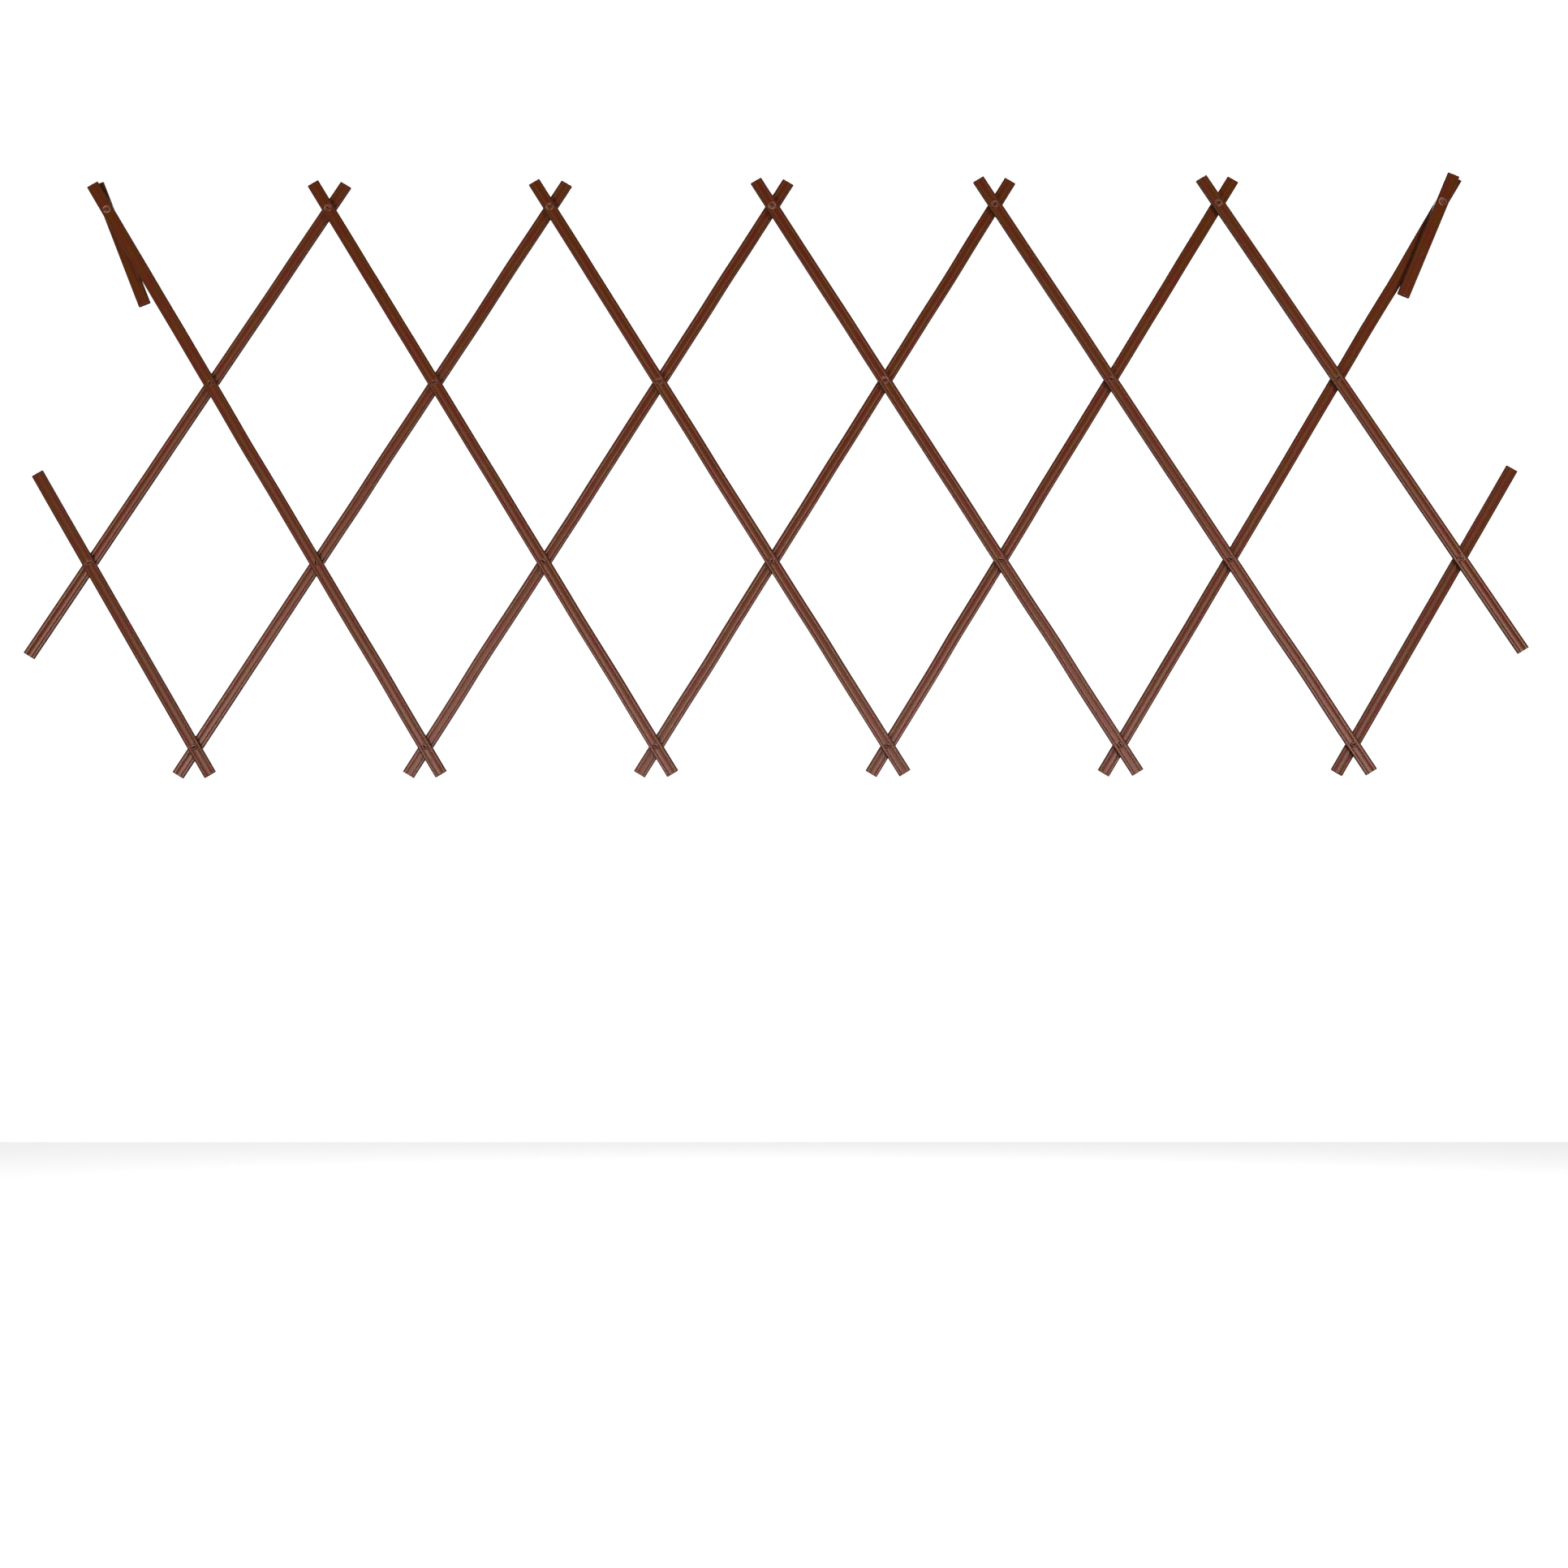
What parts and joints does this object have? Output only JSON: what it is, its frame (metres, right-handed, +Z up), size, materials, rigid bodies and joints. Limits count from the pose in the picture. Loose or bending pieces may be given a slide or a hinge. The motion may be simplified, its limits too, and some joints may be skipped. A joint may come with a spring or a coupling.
{
  "type": "expandable lattice trellis",
  "caption": "Wide low garden trellis of hollow fluted plastic slats in two crossing layers, joined by split snap rivets, which folds and opens like lazy tongs.",
  "frame": {"origin": "middle of the flat rear head face of the rivet in the middle of the third row, where the panel lies against the wall", "axes": "+X along the long side to the right, +Y towards the wall behind, +Z up; the front of the panel faces -Y"},
  "size_m": [2.4572, 0.016, 1.0251],
  "materials": {
    "slat_plastic": "satin",
    "rivet_plastic": "satin"
  },
  "bodies": {
    "centre_rivet": {"rivet_row3_4": "rivet_plastic"},
    "front_slat_1": {"front_slat_1": "slat_plastic", "rivet_row3_1": "rivet_plastic", "rivet_row4_1": "rivet_plastic"},
    "front_slat_2": {"front_slat_2": "slat_plastic", "rivet_row1_1": "rivet_plastic", "rivet_row2_1": "rivet_plastic", "rivet_row3_2": "rivet_plastic", "rivet_row4_2": "rivet_plastic"},
    "front_slat_3": {"front_slat_3": "slat_plastic", "rivet_row1_2": "rivet_plastic", "rivet_row2_2": "rivet_plastic", "rivet_row3_3": "rivet_plastic", "rivet_row4_3": "rivet_plastic"},
    "front_slat_4": {"front_slat_4": "slat_plastic", "rivet_row1_3": "rivet_plastic", "rivet_row2_3": "rivet_plastic", "rivet_row4_4": "rivet_plastic"},
    "front_slat_5": {"front_slat_5": "slat_plastic", "rivet_row1_4": "rivet_plastic", "rivet_row2_4": "rivet_plastic", "rivet_row3_5": "rivet_plastic", "rivet_row4_5": "rivet_plastic"},
    "front_slat_6": {"front_slat_6": "slat_plastic", "rivet_row1_5": "rivet_plastic", "rivet_row2_5": "rivet_plastic", "rivet_row3_6": "rivet_plastic", "rivet_row4_6": "rivet_plastic"},
    "front_slat_7": {"front_slat_7": "slat_plastic", "rivet_row1_6": "rivet_plastic", "rivet_row2_6": "rivet_plastic", "rivet_row3_7": "rivet_plastic"},
    "front_stub": {"front_stub": "slat_plastic", "rivet_row1_7": "rivet_plastic"},
    "back_slat_1": {"back_slat_1": "slat_plastic"},
    "back_slat_2": {"back_slat_2": "slat_plastic"},
    "back_slat_3": {"back_slat_3": "slat_plastic"},
    "back_slat_4": {"back_slat_4": "slat_plastic"},
    "back_slat_5": {"back_slat_5": "slat_plastic"},
    "back_slat_6": {"back_slat_6": "slat_plastic"},
    "back_slat_7": {"back_slat_7": "slat_plastic"},
    "back_stub": {"back_stub": "slat_plastic"}
  },
  "joints": [
    {"name": "fold", "type": "hinge", "parent": "centre_rivet", "child": "back_slat_4", "pos_m": [0, 0, 0], "axis": [0, -1, 0], "range_deg": [-28.6, 29.45]},
    {"name": "front_slat_4_pivot", "type": "hinge", "parent": "centre_rivet", "child": "front_slat_4", "pos_m": [0, 0, 0], "axis": [0, -1, 0], "range_deg": [-29.45, 28.6]},
    {"name": "back_slat_2_pivot", "type": "hinge", "parent": "front_slat_4", "child": "back_slat_2", "pos_m": [-0.37513, 0, 0.61456], "axis": [0, -1, 0], "range_deg": [-57.2, 58.9]},
    {"name": "back_slat_3_pivot", "type": "hinge", "parent": "front_slat_4", "child": "back_slat_3", "pos_m": [-0.18756, 0, 0.30728], "axis": [0, -1, 0], "range_deg": [-57.2, 58.9]},
    {"name": "back_slat_5_pivot", "type": "hinge", "parent": "front_slat_4", "child": "back_slat_5", "pos_m": [0.18756, 0, -0.30728], "axis": [0, -1, 0], "range_deg": [-57.2, 58.9]},
    {"name": "front_slat_6_pivot", "type": "hinge", "parent": "back_slat_4", "child": "front_slat_6", "pos_m": [0.37513, 0, 0.61456], "axis": [0, -1, 0], "range_deg": [-58.9, 57.2]},
    {"name": "front_slat_5_pivot", "type": "hinge", "parent": "back_slat_4", "child": "front_slat_5", "pos_m": [0.18756, 0, 0.30728], "axis": [0, -1, 0], "range_deg": [-58.9, 57.2]},
    {"name": "front_slat_3_pivot", "type": "hinge", "parent": "back_slat_4", "child": "front_slat_3", "pos_m": [-0.18756, 0, -0.30728], "axis": [0, -1, 0], "range_deg": [-58.9, 57.2]},
    {"name": "front_slat_2_pivot", "type": "hinge", "parent": "back_slat_2", "child": "front_slat_2", "pos_m": [-0.75025, 0, 0], "axis": [0, -1, 0], "range_deg": [-58.9, 57.2]},
    {"name": "front_slat_1_pivot", "type": "hinge", "parent": "back_slat_2", "child": "front_slat_1", "pos_m": [-0.93782, 0, -0.30728], "axis": [0, -1, 0], "range_deg": [-58.9, 57.2]},
    {"name": "back_slat_6_pivot", "type": "hinge", "parent": "front_slat_6", "child": "back_slat_6", "pos_m": [0.75025, 0, 0], "axis": [0, -1, 0], "range_deg": [-57.2, 58.9]},
    {"name": "back_slat_7_pivot", "type": "hinge", "parent": "front_slat_6", "child": "back_slat_7", "pos_m": [0.93782, 0, -0.30728], "axis": [0, -1, 0], "range_deg": [-57.2, 58.9]},
    {"name": "back_slat_1_pivot", "type": "hinge", "parent": "front_slat_3", "child": "back_slat_1", "pos_m": [-0.75025, 0, 0.61456], "axis": [0, -1, 0], "range_deg": [-57.2, 58.9]},
    {"name": "front_slat_7_pivot", "type": "hinge", "parent": "back_slat_5", "child": "front_slat_7", "pos_m": [0.75025, 0, 0.61456], "axis": [0, -1, 0], "range_deg": [-58.9, 57.2]},
    {"name": "back_stub_swing", "type": "hinge", "parent": "front_slat_2", "child": "back_stub", "pos_m": [-1.12538, 0, 0.61456], "axis": [0, 1, 0], "range_deg": [-4.91, 54]},
    {"name": "front_stub_swing", "type": "hinge", "parent": "back_slat_6", "child": "front_stub", "pos_m": [1.12538, 0, 0.61456], "axis": [0, -1, 0], "range_deg": [-3.61, 55.3]}
  ],
  "couplings": [
    {"joint": "front_slat_4_pivot", "follows": "fold", "ratio": -1},
    {"joint": "back_slat_2_pivot", "follows": "fold", "ratio": 2},
    {"joint": "back_slat_3_pivot", "follows": "fold", "ratio": 2},
    {"joint": "back_slat_5_pivot", "follows": "fold", "ratio": 2},
    {"joint": "front_slat_6_pivot", "follows": "fold", "ratio": -2},
    {"joint": "front_slat_5_pivot", "follows": "fold", "ratio": -2},
    {"joint": "front_slat_3_pivot", "follows": "fold", "ratio": -2},
    {"joint": "front_slat_2_pivot", "follows": "fold", "ratio": -2},
    {"joint": "front_slat_1_pivot", "follows": "fold", "ratio": -2},
    {"joint": "back_slat_6_pivot", "follows": "fold", "ratio": 2},
    {"joint": "back_slat_7_pivot", "follows": "fold", "ratio": 2},
    {"joint": "back_slat_1_pivot", "follows": "fold", "ratio": 2},
    {"joint": "front_slat_7_pivot", "follows": "fold", "ratio": -2},
    {"joint": "back_stub_swing", "follows": "fold", "ratio": -0.16638},
    {"joint": "front_stub_swing", "follows": "fold", "ratio": -0.12224}
  ]
}
